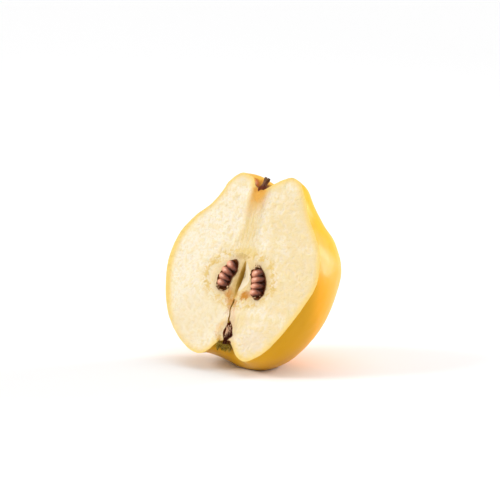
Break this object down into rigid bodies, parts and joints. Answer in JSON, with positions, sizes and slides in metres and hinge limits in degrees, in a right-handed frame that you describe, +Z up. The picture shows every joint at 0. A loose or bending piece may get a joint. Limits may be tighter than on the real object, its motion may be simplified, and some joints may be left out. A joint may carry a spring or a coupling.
{
  "type": "quince half",
  "caption": "Fresh quince cut in half from stem to calyx, leaning back on its skin: pale gritty flesh, seeds in their chambers, golden skin, a stem stub and dried sepals.",
  "frame": {"origin": "middle of the bounding box's base, on the surface that the half rests on", "axes": "+Z up; -Y is the side that the cut face looks to, leaning back by 24 degrees; +X is the right of the cut face"},
  "size_m": [0.089, 0.0616, 0.0915],
  "materials": {
    "flesh_and_skin": "moist cream flesh on the cut face, satin golden skin elsewhere",
    "stem_wood": "dry dark bark, rough",
    "dried_calyx": "dry olive-brown leaf, rough",
    "seed_coat": "smooth red-brown seed coat, half gloss"
  },
  "bodies": {
    "root": {"fruit_half": "flesh_and_skin", "stem": "stem_wood", "calyx": "dried_calyx", "seeds_left": "seed_coat", "seeds_right": "seed_coat"}
  },
  "joints": []
}
